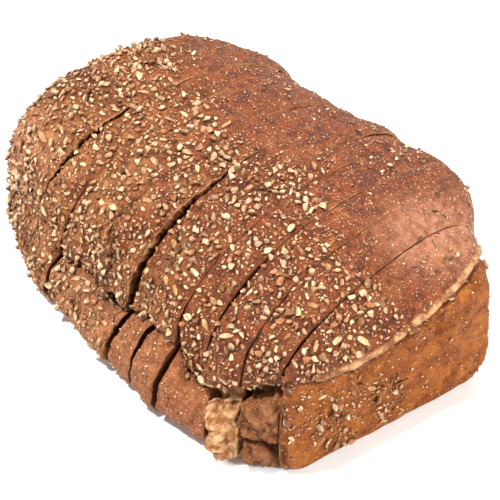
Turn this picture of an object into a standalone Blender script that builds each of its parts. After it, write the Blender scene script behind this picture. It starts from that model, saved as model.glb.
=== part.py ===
"""A sliced rye bread loaf with cracked grain on its crust: two heels and nine slices lying together.

Lengths are metres. The loaf lies along Y with its flat end at -Y, X runs across it and Z is up.
Each piece is one closed solid. The grain that sits on a piece is fused to it.
"""
import math
import random

import bmesh
import bpy
from mathutils import Matrix, Vector

# Stations along the loaf, and the crust's size at each of them.
STATION_Y = (-0.092, -0.082, -0.070, -0.052, -0.025, 0.010, 0.045, 0.075, 0.093, 0.104, 0.111)
HALF_WIDTH_LEFT = (0.0575, 0.0545, 0.0558, 0.0618, 0.0625, 0.0612, 0.0606, 0.0565, 0.0495, 0.0345, 0.024)
HALF_WIDTH_RIGHT = (0.0367, 0.0480, 0.0586, 0.0672, 0.0690, 0.0691, 0.0688, 0.0675, 0.0570, 0.0390, 0.022)
CROWN_HEIGHT = (0.0512, 0.0612, 0.0684, 0.0714, 0.0722, 0.0722, 0.0722, 0.0706, 0.0646, 0.0520, 0.0336)

# The torn line where the cap of crust ends on the left wall.
BURST_Y = (-0.092, -0.084, -0.075, -0.0645, -0.053, -0.043, -0.0355, -0.031, -0.024, -0.015, -0.004, 0.004,
           0.012, 0.021, 0.030, 0.040, 0.048, 0.057, 0.070, 0.100)
BURST_HEIGHT = (0.0520, 0.0505, 0.0428, 0.0330, 0.0270, 0.0240, 0.0255, 0.0340, 0.0360, 0.0350, 0.0315, 0.0285,
                0.0260, 0.0300, 0.0290, 0.0270, 0.0335, 0.0340, 0.0310, 0.0310)

# The calmer line on the right wall, and how far the body below each line swells out.
LIP_Y = (-0.092, -0.060, -0.020, 0.040, 0.100)
LIP_HEIGHT_RIGHT = (0.0380, 0.0480, 0.0412, 0.0258, 0.0330)
SWELL_LEFT = (-0.0030, 0.0072, 0.0120, 0.0090, -0.0010)
SWELL_RIGHT = (0.0018, 0.0029, 0.0030, 0.0030, 0.0030)
LIP_NOTCH = 0.0012
LIP_LIMIT_LEFT = 0.90
LIP_LIMIT_RIGHT = 0.70
WALL_CURVE = 2.2
CROWN_EXPONENT = 2.16
FOOT_INSET_LEFT = 0.011
FOOT_INSET_RIGHT = 0.010
WIDEST_SHARE = 0.45
WIDEST_HEIGHT_LEFT = 0.0100

# The cuts from the flat end on: place on the centre line at the base, turn and lean in degrees.
CUT_Y = (-0.0770, -0.0615, -0.0442, -0.0290, -0.0128, 0.0035, 0.0191, 0.0405, 0.0589, 0.0794)
CUT_TURN = (6.0, 2.7, 1.7, 3.0, 1.8, 2.4, -0.6, -3.2, -3.8, -6.4)
CUT_LEAN = (3.4, 2.3, 0.6, -0.1, -3.0, -4.2, -4.6, -3.0, -6.0, -4.7)
CUT_GAP = 0.0006
# Low on the left the slices splay towards the flat end: how far each cut moves there, between which
# heights that comes in, where across the loaf it starts and over what width, and how far the wall draws in.
CUT_SPLAY = (0.0, -0.0045, -0.0090, 0.0022, 0.0, 0.0, 0.0, 0.0, 0.0, 0.0)
SPLAY_HEIGHT = (0.031, 0.013)
SPLAY_START_X = 0.066
SPLAY_WIDTH = 0.126
SPLAY_INSET = 0.25
FLAT_END_Y = -0.092
FLAT_END_TURN = -6.9
FLAT_END_RISE = 3.4
FLAT_END_CORNER = 0.20
FLAT_END_CORNER_X = (-0.038, -0.054)
FLAT_END_SAG = 0.11
FLAT_END_SAG_X = -0.014
FLAT_END_SAG_WIDTH = 0.017
FLAT_END_REACH = 0.018
FLAT_END_EDGE = 0.003
ROUND_END_START = 0.098
ROUND_END_LENGTH = 0.013
ROUND_END_SHARE = 0.22
ROUND_END_HEIGHT = 0.42

# Each piece slid a little across the loaf, as sliced bread settles.
SHIFT = (0.0, 0.0006, -0.0004, 0.0004, -0.0008, 0.0010, -0.0006, 0.0004, -0.0010, 0.0006, 0.0)

FOOT_POINTS = 4
WALL_POINTS = 6
CROWN_POINTS = 14
SLICE_STATIONS = 4
HEEL_STATIONS = 8

# Lumps of torn crumb low on the left of the first two slices: piece, height, how far the middle
# lies past the wall, half sizes.
LUMPS = (
    (1, 0.028, -0.0085, (0.0100, 0.0062, 0.0120)),
    (1, 0.009, -0.0060, (0.0100, 0.0060, 0.0085)),
    (2, 0.014, -0.0075, (0.0115, 0.0053, 0.0116)),
)
LUMP_RIPPLE = 0.09

# Cracked grain.
GRAINS = 262
GRAIN_SEED = 26
GRAIN_TRIES = 60000
GRAIN_LONGEST = 0.0046
GRAIN_SHORTEST = 0.0028
GRAIN_SPACING = 0.0051
GRAIN_SUNK = 0.36
GRAIN_FLATNESS = 0.55
GRAIN_WIDTH = 0.78
GRAIN_TAPER = 0.78
GRAIN_KNOCK = (0.74, 1.04)
GRAIN_LEAN = 16.0
KERNEL_SHARE = 0.10
KERNEL_STRETCH = 1.45
KERNEL_WIDTH = 0.50
CUT_CLEARANCE = 0.0012
GRAIN_LOWEST = 0.006
# The cover of grain lies on the left half: where it fades out and over what length, more at the far end.
COVER_EDGE_X = -0.002
COVER_EDGE_X_FAR = 0.018
COVER_FAR_Y = 0.04
COVER_FADE = 0.010
WALL_COVER_NEAR = 0.12
WALL_COVER_FAR = 0.45
WALL_SHARE = 0.80
# How often a piece gets the next grain: near heel, slice, far heel.
PIECE_WEIGHTS = (2.0, 1.3, 2.2)

NAMES = ("heel_near",) + tuple(f"slice_{i:02d}" for i in range(1, 10)) + ("heel_far",)
CRUST_COLOUR = (0.36, 0.165, 0.082, 1.0)
CRUST_ROUGHNESS = 0.85


def between(y, places, values):
    """Smooth value at y of a quantity given at some places."""
    y = min(max(y, places[0]), places[-1])
    i = max(k for k in range(len(places) - 1) if places[k] <= y)
    slopes = []
    for k in (i, i + 1):
        low, high = max(k - 1, 0), min(k + 1, len(places) - 1)
        slopes.append((values[high] - values[low]) / (places[high] - places[low]))
    h = places[i + 1] - places[i]
    t = (y - places[i]) / h
    return (
        (2 * t**3 - 3 * t**2 + 1) * values[i]
        + (t**3 - 2 * t**2 + t) * h * slopes[0]
        + (3 * t**2 - 2 * t**3) * values[i + 1]
        + (t**3 - t**2) * h * slopes[1]
    )


def lower_wall(half_width, swell, lip, sign):
    """Points from the foot up to the burst line on one side."""
    foot = half_width + swell - (FOOT_INSET_RIGHT if sign > 0 else FOOT_INSET_LEFT)
    widest = WIDEST_SHARE * lip
    if sign < 0:
        widest = min(widest, WIDEST_HEIGHT_LEFT)
    turn = WALL_POINTS // 2
    points = []
    for i in range(turn):
        a = math.pi / 2 * i / turn
        points.append((sign * (foot + (half_width + swell - foot) * math.sin(a)), widest * (1 - math.cos(a))))
    for i in range(WALL_POINTS - turn + 1):
        t = i / (WALL_POINTS - turn)
        out = half_width + swell - (swell + LIP_NOTCH) * t**WALL_CURVE
        points.append((sign * out, widest + (lip - widest) * t))
    return points


def end_height(x):
    """How the flat end's upper edge departs from the section there: raised corner, sagging middle."""
    start, stop = FLAT_END_CORNER_X
    t = min(max((x - start) / (stop - start), 0.0), 1.0)
    corner = FLAT_END_CORNER * t * t * (3 - 2 * t)
    sag = FLAT_END_SAG * math.exp(-(((x - FLAT_END_SAG_X) / FLAT_END_SAG_WIDTH) ** 2))
    return FLAT_END_RISE * x + corner - sag


def section(y):
    """The loaf's outline (x, z) at one place, from the left foot round to the left foot."""
    left = between(y, STATION_Y, HALF_WIDTH_LEFT)
    right = between(y, STATION_Y, HALF_WIDTH_RIGHT)
    crown = between(y, STATION_Y, CROWN_HEIGHT)
    lip_left = min(between(y, BURST_Y, BURST_HEIGHT), LIP_LIMIT_LEFT * crown)
    lip_right = min(between(y, LIP_Y, LIP_HEIGHT_RIGHT), LIP_LIMIT_RIGHT * crown)
    swell_left = between(y, LIP_Y, SWELL_LEFT)
    swell_right = between(y, LIP_Y, SWELL_RIGHT)
    foot_left = -(left + swell_left - FOOT_INSET_LEFT)
    foot_right = right + swell_right - FOOT_INSET_RIGHT
    points = [(foot_left + (foot_right - foot_left) * i / FOOT_POINTS, 0.0) for i in range(FOOT_POINTS)]
    points += lower_wall(right, swell_right, lip_right, 1)
    power = 2 / CROWN_EXPONENT
    angles = [math.pi / 2 * i / CROWN_POINTS for i in range(CROWN_POINTS + 1)]
    for a in angles:
        base = lip_right + LIP_NOTCH
        points.append((right * abs(math.cos(a)) ** power, base + (crown - base) * math.sin(a) ** power))
    for a in reversed(angles[:-1]):
        base = lip_left + LIP_NOTCH
        points.append((-left * math.cos(a) ** power, base + (crown - base) * math.sin(a) ** power))
    points += lower_wall(left, swell_left, lip_left, -1)[:0:-1]

    near = min(max((FLAT_END_Y + FLAT_END_REACH - y) / FLAT_END_REACH, 0.0), 1.0)
    points = [(x, z * (1 + near**2 * end_height(x))) for x, z in points]
    edge = min(max((FLAT_END_Y + FLAT_END_EDGE - y) / FLAT_END_EDGE, 0.0), 1.0)
    inset = FLAT_END_EDGE * (1 - math.sqrt(1 - edge**2))
    points = [(x - math.copysign(inset, x), z + inset * (1 - 2 * z / crown)) for x, z in points]
    far = min(max((y - ROUND_END_START) / ROUND_END_LENGTH, 0.0), 1.0)
    keep = ROUND_END_SHARE + (1 - ROUND_END_SHARE) * math.sqrt(1 - far**2)
    middle = ROUND_END_HEIGHT * crown
    return [(x * keep, middle + (z - middle) * keep) for x, z in points]


def splay(cut, x, z):
    """How far a cut is moved along the loaf at (x, z) by the splay low on the left."""
    if cut < 0 or cut >= len(CUT_Y):
        return 0.0
    start, full = SPLAY_HEIGHT
    low = min(max((start - z) / (start - full), 0.0), 1.0)
    left = min(max((SPLAY_START_X - x) / SPLAY_WIDTH, 0.0), 1.0)
    return CUT_SPLAY[cut] * low * low * (3 - 2 * low) * left


def face_y(cut, x, z):
    """Where the plane of a cut, or one of the loaf's ends, lies at a given (x, z)."""
    if cut < 0:
        return FLAT_END_Y + x * math.tan(math.radians(FLAT_END_TURN))
    if cut >= len(CUT_Y):
        return STATION_Y[-1]
    plane = x * math.tan(math.radians(CUT_TURN[cut])) + z * math.tan(math.radians(CUT_LEAN[cut]))
    return CUT_Y[cut] + plane + splay(cut, x, z)


def piece_ends(piece):
    """Nominal places of the two faces of a piece."""
    start = FLAT_END_Y if piece == 0 else CUT_Y[piece - 1]
    end = STATION_Y[-1] if piece == len(CUT_Y) else CUT_Y[piece]
    return start, end


def ring(piece, t):
    """Section of a piece at share t of its thickness, laid between its two cut planes."""
    start, end = piece_ends(piece)
    points = []
    for x, z in section(start + (end - start) * t):
        if x < 0:
            x -= SPLAY_INSET * (splay(piece - 1, x, z) * (1 - t) + splay(piece, x, z) * t)
        x += SHIFT[piece]
        a = face_y(piece - 1, x, z) + (CUT_GAP / 2 if piece else 0)
        b = face_y(piece, x, z) - (CUT_GAP / 2 if piece < len(CUT_Y) else 0)
        points.append(Vector((x, a + (b - a) * t, z)))
    return points


def station_shares(piece):
    """Shares of the thickness at which a piece has a section, closer together towards an end."""
    if 0 < piece < len(CUT_Y):
        return [i / (SLICE_STATIONS - 1) for i in range(SLICE_STATIONS)]
    eased = [math.sin(math.pi / 2 * i / (HEEL_STATIONS - 1)) for i in range(HEEL_STATIONS)]
    return eased if piece else [1 - t for t in reversed(eased)]


def finish_mesh(work, name):
    """Turn a bmesh into a mesh with outward faces, all triangles."""
    bmesh.ops.recalc_face_normals(work, faces=work.faces)
    bmesh.ops.triangulate(work, faces=work.faces)
    mesh = bpy.data.meshes.new(name)
    work.to_mesh(mesh)
    work.free()
    return mesh


def closing_triangles():
    """Ring points that make up the triangles closing a section, in strips from the foot to the crown."""
    count = FOOT_POINTS + 2 * (WALL_POINTS + CROWN_POINTS + 1)
    height = WALL_POINTS + CROWN_POINTS + 1
    right = [FOOT_POINTS + k for k in range(height + 1)]
    left = [(count - k) % count for k in range(height)]
    middle = FOOT_POINTS // 2
    triangles = [(i, i + 1, left[1]) for i in range(middle)]
    triangles += [(i, i + 1, right[1]) for i in range(middle, FOOT_POINTS)]
    triangles.append((middle, right[1], left[1]))
    for k in range(1, height - 1):
        triangles.append((left[k], right[k], right[k + 1]))
        triangles.append((left[k], right[k + 1], left[k + 1]))
    triangles.append((left[-1], right[height - 1], right[height]))
    return triangles


def piece_mesh(piece, name):
    """Closed body of one heel or slice."""
    work = bmesh.new()
    rows = [[work.verts.new(p) for p in ring(piece, t)] for t in station_shares(piece)]
    count = len(rows[0])
    for low, high in zip(rows[:-1], rows[1:]):
        for i in range(count):
            j = (i + 1) % count
            work.faces.new((low[i], low[j], high[j], high[i]))
    for row, is_cut in ((rows[0], piece > 0), (rows[-1], piece < len(CUT_Y))):
        if is_cut:
            for corners in closing_triangles():
                work.faces.new([row[c] for c in corners])
        else:
            work.faces.new(row)
    return finish_mesh(work, name)


def grain_mesh(rng, centre, normal, length, width, height):
    """A chip of cracked grain: a block with knocked corners, lying on the crust."""
    along = normal.orthogonal().normalized()
    turn = Matrix.Rotation(rng.uniform(0, 2 * math.pi), 3, normal)
    lean = Matrix.Rotation(math.radians(rng.uniform(-GRAIN_LEAN, GRAIN_LEAN)), 3, along)
    along = turn @ lean @ along
    up = (turn @ lean @ normal).normalized()
    across = up.cross(along).normalized()
    middle = centre + normal * height * (0.5 - GRAIN_SUNK)
    work = bmesh.new()
    corners = {}
    for k in (-1, 1):
        for j in (-1, 1):
            for i in (-1, 1):
                taper = GRAIN_TAPER if k > 0 else 1.0
                knock = [rng.uniform(*GRAIN_KNOCK) for _ in range(3)]
                corners[i, j, k] = work.verts.new(
                    middle
                    + along * (i * length / 2 * taper * knock[0])
                    + across * (j * width / 2 * taper * knock[1])
                    + up * (k * height / 2 * knock[2])
                )
    for flat in (
        ((-1, -1, -1), (-1, 1, -1), (1, 1, -1), (1, -1, -1)),
        ((-1, -1, 1), (1, -1, 1), (1, 1, 1), (-1, 1, 1)),
        ((-1, -1, -1), (1, -1, -1), (1, -1, 1), (-1, -1, 1)),
        ((-1, 1, -1), (-1, 1, 1), (1, 1, 1), (1, 1, -1)),
        ((-1, -1, -1), (-1, -1, 1), (-1, 1, 1), (-1, 1, -1)),
        ((1, -1, -1), (1, 1, -1), (1, 1, 1), (1, -1, 1)),
    ):
        work.faces.new([corners[c] for c in flat])
    return finish_mesh(work, "grain")


def on_crust(piece, t, share):
    """Point and outward normal on a piece, share running right lip, crown, left lip, left foot."""
    def at(tt, ss):
        points = ring(piece, min(max(tt, 0.0), 1.0))
        first = FOOT_POINTS + WALL_POINTS + 1
        span = 2 * CROWN_POINTS + WALL_POINTS + 1
        place = first + ss * span
        i = int(place)
        a, b = points[i % len(points)], points[(i + 1) % len(points)]
        return a.lerp(b, place - i)

    here = at(t, share)
    along = at(min(t + 0.02, 1.0), share) - at(max(t - 0.02, 0.0), share)
    round_it = at(t, share + 0.01) - at(t, share - 0.01)
    normal = round_it.cross(along).normalized()
    return here, -normal if normal.dot(here - Vector((0, here.y, 0.03))) < 0 else normal


def grain_density(piece, p, share):
    """How thickly the crust is strewn there, 0 to 1."""
    edge = COVER_EDGE_X_FAR if p.y > COVER_FAR_Y else COVER_EDGE_X
    cover = 1 / (1 + math.exp((p.x - edge) / COVER_FADE))
    if share > WALL_SHARE:
        return WALL_COVER_FAR * cover if p.y > 0.0 else WALL_COVER_NEAR
    return cover


def strew():
    """Grain for every piece: evenly spaced, largest first, by a seeded rule."""
    rng = random.Random(GRAIN_SEED)
    placed = []
    chips = [[] for _ in NAMES]
    near_heel, slices, far_heel = PIECE_WEIGHTS
    weights = [near_heel] + [slices] * (len(NAMES) - 2) + [far_heel]
    for _ in range(GRAIN_TRIES):
        if len(placed) == GRAINS:
            break
        piece = rng.choices(range(len(NAMES)), weights=weights)[0]
        t, share = rng.uniform(0.04, 0.96), rng.uniform(0.03, 0.97)
        p, normal = on_crust(piece, t, share)
        if rng.random() > grain_density(piece, p, share) or p.z < GRAIN_LOWEST:
            continue
        size = GRAIN_SHORTEST + (GRAIN_LONGEST - GRAIN_SHORTEST) * (1 - len(placed) / GRAINS)
        kernel = rng.random() < KERNEL_SHARE
        length = size * (KERNEL_STRETCH if kernel else 1.0)
        width = size * (KERNEL_WIDTH if kernel else GRAIN_WIDTH)
        clear = length / 2 + CUT_CLEARANCE
        if piece > 0 and p.y - face_y(piece - 1, p.x, p.z) < clear:
            continue
        if piece < len(CUT_Y) and face_y(piece, p.x, p.z) - p.y < clear:
            continue
        if any((p - q).length < GRAIN_SPACING + 0.25 * length for q in placed):
            continue
        placed.append(p)
        chips[piece].append(grain_mesh(rng, p, normal, length, width, size * GRAIN_FLATNESS))
    return chips


def lump_mesh(piece, height, out, half):
    """A rounded lump of crumb half buried in the left wall of a piece."""
    start, end = piece_ends(piece)
    wall = min(x for x, z in section((start + end) / 2) if z < height + half[2] / 3)
    wall -= SPLAY_INSET * (splay(piece - 1, wall, height) + splay(piece, wall, height)) / 2
    y = (face_y(piece - 1, wall, height) + face_y(piece, wall, height)) / 2
    work = bmesh.new()
    bmesh.ops.create_icosphere(work, subdivisions=2, radius=1.0)
    for v in work.verts:
        wave = math.sin(5 * v.co.x + 3 * v.co.z + 2 * piece) * math.cos(4 * v.co.y - 2 * v.co.z)
        ripple = 1 + LUMP_RIPPLE * wave
        v.co = Vector((wall - out, y, height)) + ripple * Vector([c * h for c, h in zip(v.co, half)])
        v.co.z = max(v.co.z, CUT_GAP)
    return finish_mesh(work, "lump")


def fuse(target, meshes):
    """Join meshes to the target with one union and remove them."""
    if not meshes:
        return
    loose = bpy.data.collections.new("loose")
    bpy.context.scene.collection.children.link(loose)
    for i, mesh in enumerate(meshes):
        loose.objects.link(bpy.data.objects.new(f"loose_{i:03d}", mesh))
    modifier = target.modifiers.new("fuse", "BOOLEAN")
    modifier.operation = "UNION"
    modifier.operand_type = "COLLECTION"
    modifier.collection = loose
    modifier.solver = "EXACT"
    bpy.context.view_layer.update()
    fused = bpy.data.meshes.new_from_object(target.evaluated_get(bpy.context.evaluated_depsgraph_get()))
    target.modifiers.clear()
    target.data = fused
    for obj in list(loose.objects):
        bpy.data.objects.remove(obj)
    bpy.data.collections.remove(loose)


def keep_outer_body(obj):
    """Drop what a union can leave over: sealed hollows and loose scraps."""
    work = bmesh.new()
    work.from_mesh(obj.data)
    bmesh.ops.triangulate(work, faces=work.faces)
    unseen = set(work.verts)
    bodies = []
    while unseen:
        group, edge = set(), [unseen.pop()]
        while edge:
            v = edge.pop()
            group.add(v)
            for e in v.link_edges:
                other = e.other_vert(v)
                if other in unseen:
                    unseen.discard(other)
                    edge.append(other)
        bodies.append(group)
    largest = max(bodies, key=len)
    bmesh.ops.delete(work, geom=[v for v in work.verts if v not in largest], context="VERTS")
    work.to_mesh(obj.data)
    work.free()


def crust_material(name):
    """Matte baked crust."""
    material = bpy.data.materials.new(name)
    material.use_nodes = True
    shader = material.node_tree.nodes["Principled BSDF"]
    shader.inputs["Base Color"].default_value = CRUST_COLOUR
    shader.inputs["Roughness"].default_value = CRUST_ROUGHNESS
    return material


def main():
    for obj in list(bpy.data.objects):
        bpy.data.objects.remove(obj)
    chips = strew()
    pieces = []
    for index, name in enumerate(NAMES):
        obj = bpy.data.objects.new(name, piece_mesh(index, name))
        bpy.context.scene.collection.objects.link(obj)
        lumps = [lump_mesh(*lump) for lump in LUMPS if lump[0] == index]
        fuse(obj, chips[index] + lumps)
        keep_outer_body(obj)
        obj.data.materials.clear()
        obj.data.materials.append(crust_material(f"crust_{name}"))
        pieces.append(obj)
    corners = [v.co for obj in pieces for v in obj.data.vertices]
    shift = Vector((
        -(min(c.x for c in corners) + max(c.x for c in corners)) / 2,
        -(min(c.y for c in corners) + max(c.y for c in corners)) / 2,
        -min(c.z for c in corners),
    ))
    for obj in pieces:
        obj.data.transform(Matrix.Translation(shift))
        obj.data.update()
    total = sum(len(obj.data.polygons) for obj in pieces)
    print("loaf shift", [round(c, 6) for c in shift], "triangles", total)
    print("each", [len(obj.data.polygons) for obj in pieces], "grains", [len(c) for c in chips])


main()
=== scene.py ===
"""Looks of the sliced rye loaf: crust, torn crumb and strewn grain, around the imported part. Metres, +Z up."""
import math

import bmesh
import bpy
import numpy as np
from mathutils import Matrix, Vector
from mathutils.bvhtree import BVHTree


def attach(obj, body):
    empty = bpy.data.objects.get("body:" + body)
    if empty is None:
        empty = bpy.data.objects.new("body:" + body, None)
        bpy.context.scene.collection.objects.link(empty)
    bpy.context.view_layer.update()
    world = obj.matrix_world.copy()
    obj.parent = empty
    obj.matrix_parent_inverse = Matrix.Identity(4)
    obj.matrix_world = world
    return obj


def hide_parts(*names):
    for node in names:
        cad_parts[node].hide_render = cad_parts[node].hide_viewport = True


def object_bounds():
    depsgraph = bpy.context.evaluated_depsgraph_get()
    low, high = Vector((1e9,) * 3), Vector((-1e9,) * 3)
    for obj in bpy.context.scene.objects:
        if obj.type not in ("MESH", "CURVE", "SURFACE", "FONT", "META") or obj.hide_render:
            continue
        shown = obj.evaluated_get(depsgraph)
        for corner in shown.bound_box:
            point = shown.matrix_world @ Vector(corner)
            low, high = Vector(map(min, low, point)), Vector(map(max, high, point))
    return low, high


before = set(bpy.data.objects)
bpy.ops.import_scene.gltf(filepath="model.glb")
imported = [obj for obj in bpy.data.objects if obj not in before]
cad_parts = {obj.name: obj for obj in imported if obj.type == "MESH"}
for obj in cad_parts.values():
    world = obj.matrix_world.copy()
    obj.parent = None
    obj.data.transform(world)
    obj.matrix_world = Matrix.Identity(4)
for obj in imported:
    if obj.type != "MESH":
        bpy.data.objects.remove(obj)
CAD_BOUNDS = [list(corner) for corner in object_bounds()]
RNG = np.random.default_rng(26)
DETAIL = 1.0
SCALE = 1.0

# The dressed loaf stays this far inside the box of the solid part, easing in over a short way.
INSET = 0.0001
EASE_IN = 0.0004
LOW_LIMIT = np.array(CAD_BOUNDS[0]) + INSET
HIGH_LIMIT = np.array(CAD_BOUNDS[1]) - INSET

# The loaf's own sizes, as in the solid part.
LOAF_SHIFT = np.array([0.001172, -0.007473, 0.0])
STATION_Y = (-0.092, -0.082, -0.070, -0.052, -0.025, 0.010, 0.045, 0.075, 0.093, 0.104, 0.111)
HALF_WIDTH_LEFT = (0.0575, 0.0545, 0.0558, 0.0618, 0.0625, 0.0612, 0.0606, 0.0565, 0.0495, 0.0345, 0.024)
HALF_WIDTH_RIGHT = (0.0367, 0.0480, 0.0586, 0.0672, 0.0690, 0.0691, 0.0688, 0.0675, 0.0570, 0.0390, 0.022)
CROWN_HEIGHT = (0.0512, 0.0612, 0.0684, 0.0714, 0.0722, 0.0722, 0.0722, 0.0706, 0.0646, 0.0520, 0.0336)
LIP_Y = (-0.092, -0.060, -0.020, 0.040, 0.100)
LIP_HEIGHT_RIGHT = (0.0380, 0.0480, 0.0412, 0.0258, 0.0330)
BURST_Y = (-0.092, -0.084, -0.075, -0.0645, -0.053, -0.043, -0.0355, -0.031, -0.024, -0.015, -0.004, 0.004,
           0.012, 0.021, 0.030, 0.040, 0.048, 0.057, 0.070, 0.100)
BURST_HEIGHT = (0.0520, 0.0505, 0.0428, 0.0330, 0.0270, 0.0240, 0.0255, 0.0340, 0.0360, 0.0350, 0.0315,
                0.0285, 0.0260, 0.0300, 0.0290, 0.0270, 0.0335, 0.0340, 0.0310, 0.0310)
WIDEST_HEIGHT_LEFT = 0.0100
SWELL_LEFT = (-0.0030, 0.0072, 0.0120, 0.0090, -0.0010)
SWELL_RIGHT = (0.0018, 0.0029, 0.0030, 0.0030, 0.0030)
LIP_NOTCH = 0.0012
CROWN_EXPONENT = 2.16
FOOT_INSET_LEFT = 0.011
FOOT_INSET_RIGHT = 0.010
WIDEST_SHARE = 0.45
CUT_Y = (-0.0770, -0.0615, -0.0442, -0.0290, -0.0128, 0.0035, 0.0191, 0.0405, 0.0589, 0.0794)
CUT_TURN = (6.0, 2.7, 1.7, 3.0, 1.8, 2.4, -0.6, -3.2, -3.8, -6.4)
CUT_LEAN = (3.4, 2.3, 0.6, -0.1, -3.0, -4.2, -4.6, -3.0, -6.0, -4.7)
CUT_SPLAY = (0.0, -0.0045, -0.0090, 0.0022, 0.0, 0.0, 0.0, 0.0, 0.0, 0.0)
SPLAY_HEIGHT = (0.031, 0.013)
SPLAY_START_X = 0.066
SPLAY_WIDTH = 0.126
SPLAY_INSET = 0.25
FLAT_END_Y = -0.092
FLAT_END_TURN = -6.9
FLAT_END_RISE = 3.4
FLAT_END_REACH = 0.018
FLAT_END_EDGE = 0.0026
FLAT_END_CORNER = 0.20
FLAT_END_SAG = 0.11
ROUND_END_START = 0.098
ROUND_END_LENGTH = 0.013
END_INSET = 0.0005
SHIFT = (0.0, 0.0006, -0.0004, 0.0004, -0.0008, 0.0010, -0.0006, 0.0004, -0.0010, 0.0006, 0.0)
PIECES = ["heel_near"] + [f"slice_{i:02d}" for i in range(1, 10)] + ["heel_far"]
LAST = len(CUT_Y)

# Camera: the photograph is a square frame of this many pixels.
PHOTO_SIZE = 500
CAMERA_AZIMUTH = -40.4
CAMERA_ELEVATION = 42.72
CAMERA_DISTANCE = 0.7436
CAMERA_FOCAL_PX = 1886.2
CAMERA_AIM = Vector((0.0, 0.0, 0.035))
CAMERA_AIM_PX = (0.8, -26.0)
SENSOR_MM = 36.0

# Stage: a wide floor just under the loaf, an even sky, and lamps with their place, aim, size and power.
FLOOR_SIZE = 6.0
FLOOR_DROP = 0.0002
SKY_STRENGTH = 0.36
LIGHT_COLOUR = (1.0, 0.98, 0.94)
LAMPS = (
    ("key", (-0.40, 0.12, 1.05), (0, 0, 0.04), 0.11, 18.0),
    ("back_left", (-0.9, 0.9, 0.45), (0, 0, 0.05), 0.5, 4.0),
    ("back_right", (0.9, 0.5, 0.55), (0, 0, 0.05), 0.5, 6.0),
    ("front_fill", (0.10, -1.1, 0.85), (0, 0, 0.03), 0.30, 19.5),
)

# Cuts: narrowest gap, how far each opens on the left shoulder and down the left wall, strips of pale crumb.
CUT_GAP = (0.00036, 0.00016, 0.00016, 0.00014, 0.00012, 0.00022, 0.00012, 0.00012, 0.00020, 0.00014)
CUT_SHOULDER = (0.0008, 0.0002, 0.0008, 0.0001, 0.0, 0.0002, 0.0, 0.0002, 0.0, 0.0)
CUT_OPENING = (0.0004, 0.0, 0.0004, 0.0022, 0.0034, 0.0018, 0.0003, 0.0013, 0.0008, 0.0003)
CUT_STRIP = {6: 0.0006, 9: 0.0006}
# Each piece stands this much prouder or lower than its neighbours on the left shoulder.
STEP = (0.0, 0.0002, -0.0002, 0.0003, 0.0001, -0.0010, 0.0010, -0.0003, -0.0010, 0.0008, 0.0)

# The cap's torn edge: height that counts as a pixel, distances well under and over it, its rim and crease.
LIP_BAND = 0.0004
FAR_BELOW = -12.0
FAR_ABOVE = 50.0
RIM_HEIGHT = 0.0007
GROOVE_DEPTH = 0.0013
# Distance from a cut where there is none.
NO_CUT = 1.0
# Lumps of torn crumb on two slices: height of the middle, half height and how far out. How much is crumb,
# how much painted shade lies on it, and how pale the crust is below the torn edge.
LUMPS = {
    1: ((0.0265, 0.0130, 0.0062), (0.0060, 0.0066, 0.0064)),
    2: ((0.0125, 0.0125, 0.0066), (0.0275, 0.0070, 0.0036)),
}
CRUMB_SHARE = {1: 0.20, 2: 1.0}
TORN_SHADE = {1: 0.24, 2: 0.0}
SKIRT_PALENESS = 0.30

# Grid of a piece: points round it, stations along it, rings that close it, and how far its rim is evened.
FOOT_POINTS = int(26 * DETAIL)
WALL_RIGHT = int(40 * DETAIL)
WALL_LEFT = int(80 * DETAIL)
CROWN_POINTS = int(170 * DETAIL)
STATIONS = int(34 * DETAIL)
HEEL_STATIONS = int(64 * DETAIL)
FLAT_END_RINGS = int(60 * DETAIL) + 2
ROUND_END_RINGS = int(12 * DETAIL) + 2
CUT_RINGS = int(5 * DETAIL) + 2
KEPT_SPREAD = int(16 * DETAIL)
OUTLINE_SPREAD = int(7 * DETAIL)
CROWN_FIRST = FOOT_POINTS + WALL_RIGHT + 1
LEFT_LIP = CROWN_FIRST + 2 * CROWN_POINTS + 1

# Strewn grain: cell size for finding neighbours, tries for each place, room beside cuts and beside a cut with
# a pale strip, lowest height, and the share of browned grains.
GRAIN_CELL = 0.0060
TRIES = 9
GRAIN_CLEAR = 0.0009
STRIP_CLEAR = 0.0004
GRAIN_FLOOR = 0.0004
BROWNED_SHARE = 0.16

# Kinds of it: name, count, least distance, size (length, its spread, width and height as shares of it), share
# sunk in and tilt.
KERNELS = ("whole_kernels", 46, 0.0052, (0.0048, 0.14, 0.44, 0.36), 0.26, 0.25)
CHIPS = ("grain_chips", 2300, 0.0025, (0.0031, 0.24, 0.74, 0.60), 0.18, 0.5)
GRIT = ("grain_grit", 4400, 0.0010, (0.00135, 0.30, 0.72, 0.60), 0.22, 0.5)
BRAN = ("bran_flecks", 5200, 0.0006, (0.0007, 0.30, 0.60, 0.35), 0.25, 0.3)
DARK_SEEDS = ("dark_seeds", (0.0030, 0.15, 0.30, 0.30), 0.42, 0.1)

# Lower edge of the torn cap in the photograph, left to right, as pixel places.
CAP_EDGE = ((8, 186), (20, 196), (36, 209), (44, 216), (54, 226), (62, 238), (68, 254), (82, 264), (95, 272),
            (106, 292), (115, 300), (127, 304), (138, 310), (150, 317), (162, 327), (173, 334), (180, 348),
            (186, 366), (199, 380), (216, 388), (245, 390), (270, 386), (287, 384), (325, 382), (363, 366),
            (397, 345), (421, 324), (440, 309), (449, 299), (466, 280), (479, 260), (494, 234))
# Pixels right of this one lie on the right wall, past the end of that edge.
CAP_EDGE_END = 486
# Pixels right of this one show the bare lip of the flat end.
SMOOTH_LIP_START = 318
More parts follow.
